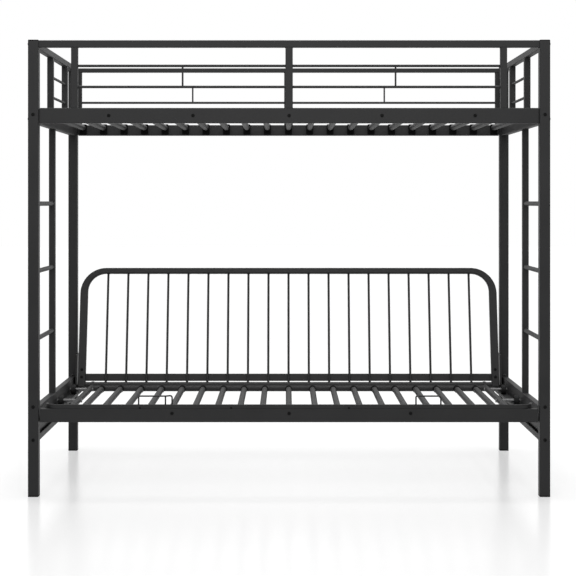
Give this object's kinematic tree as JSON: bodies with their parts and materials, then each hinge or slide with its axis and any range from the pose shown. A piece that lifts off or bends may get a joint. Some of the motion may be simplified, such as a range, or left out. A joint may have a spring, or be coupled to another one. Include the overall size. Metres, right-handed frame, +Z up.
{
  "type": "sofa bunk bed",
  "caption": "Black metal bunk bed: a slatted upper deck with guard rails over a sofa whose seat rolls forward while its back folds flat into a lower bed.",
  "frame": {"origin": "on the floor under the middle of the bed's overall box", "axes": "+X along the length to the right seen from the front, +Y towards the rear, +Z up"},
  "size_m": [1.988, 1.061, 1.734],
  "materials": {
    "black_steel": "satin black powder coat with a fine grain",
    "black_bolt": "black button-head bolts and pins",
    "black_plastic": "moulded black plastic",
    "roller_plastic": "dark grey nylon",
    "zinc_steel": "zinc-plated steel"
  },
  "bodies": {
    "frame": {"front_left_post": "black_steel", "front_right_post": "black_steel", "rear_left_post": "black_steel", "rear_right_post": "black_steel", "post_caps": "black_plastic", "post_feet": "black_plastic", "left_end_top_rail": "black_steel", "right_end_top_rail": "black_steel", "left_deck_end_rail": "black_steel", "right_deck_end_rail": "black_steel", "left_seat_end_rail": "black_steel", "right_seat_end_rail": "black_steel", "end_rail_plates": "black_steel", "low_end_tubes": "black_steel", "end_side_sheets": "black_steel", "end_guard_uprights": "black_steel", "end_guard_rungs": "black_steel", "ladder_uprights": "black_steel", "left_ladder_rungs": "black_steel", "right_ladder_rungs": "black_steel", "front_deck_rail": "black_steel", "rear_deck_rail": "black_steel", "rail_seam_plates": "black_steel", "deck_slats": "black_steel", "slat_holders": "black_plastic", "front_guard_rail": "black_steel", "front_guard_uprights": "black_steel", "front_guard_rods": "black_steel", "rear_guard_top_rails": "black_steel", "rear_guard_uprights": "black_steel", "rear_guard_rods": "black_steel", "guard_spacers": "black_steel", "rear_rest_rail": "black_steel", "rear_guide_plates": "black_steel", "left_track": "black_steel", "right_track": "black_steel", "rail_end_plugs": "zinc_steel", "post_bolts": "black_bolt", "plate_nuts": "zinc_steel", "side_bolts": "black_bolt", "deck_rail_bolts": "black_bolt"},
    "seat": {"seat_front_rail": "black_steel", "seat_front_lip": "black_steel", "seat_side_tubes": "black_steel", "seat_rear_tube": "black_steel", "seat_slats": "black_steel", "seat_slat_caps": "black_plastic", "mattress_loops": "black_steel", "seat_rail_bolts": "black_bolt", "hinge_brackets": "black_steel", "roller_axles": "zinc_steel"},
    "front_left_wheel": {"front_left_roller": "roller_plastic"},
    "front_right_wheel": {"front_right_roller": "roller_plastic"},
    "rear_left_wheel": {"rear_left_roller": "roller_plastic"},
    "rear_right_wheel": {"rear_right_roller": "roller_plastic"},
    "back": {"back_frame": "black_steel", "back_bottom_tube": "black_steel", "back_rods": "black_steel", "back_crossbar": "black_steel", "back_bolts": "black_bolt"}
  },
  "joints": [
    {"name": "seat_slide", "type": "slide", "parent": "frame", "child": "seat", "axis": [0, -1, 0], "range_m": [0, 0.4]},
    {"name": "back_recline", "type": "hinge", "parent": "seat", "child": "back", "pos_m": [0, 0.39, 0.309], "axis": [-1, 0, 0], "range_deg": [0, 78.3]},
    {"name": "front_left_wheel_spin", "type": "hinge", "parent": "seat", "child": "front_left_wheel", "pos_m": [-0.936, -0.0649, 0.302], "axis": [1, 0, 0], "range_deg": [0, 1146]},
    {"name": "front_right_wheel_spin", "type": "hinge", "parent": "seat", "child": "front_right_wheel", "pos_m": [0.936, -0.0649, 0.302], "axis": [1, 0, 0], "range_deg": [0, 1146]},
    {"name": "rear_left_wheel_spin", "type": "hinge", "parent": "seat", "child": "rear_left_wheel", "pos_m": [-0.936, 0.283, 0.302], "axis": [1, 0, 0], "range_deg": [0, 1146]},
    {"name": "rear_right_wheel_spin", "type": "hinge", "parent": "seat", "child": "rear_right_wheel", "pos_m": [0.936, 0.283, 0.302], "axis": [1, 0, 0], "range_deg": [0, 1146]}
  ],
  "couplings": [
    {"joint": "back_recline", "follows": "seat_slide", "rad_per_m": 3.4164},
    {"joint": "front_left_wheel_spin", "follows": "seat_slide", "rad_per_m": 50},
    {"joint": "front_right_wheel_spin", "follows": "seat_slide", "rad_per_m": 50},
    {"joint": "rear_left_wheel_spin", "follows": "seat_slide", "rad_per_m": 50},
    {"joint": "rear_right_wheel_spin", "follows": "seat_slide", "rad_per_m": 50}
  ]
}
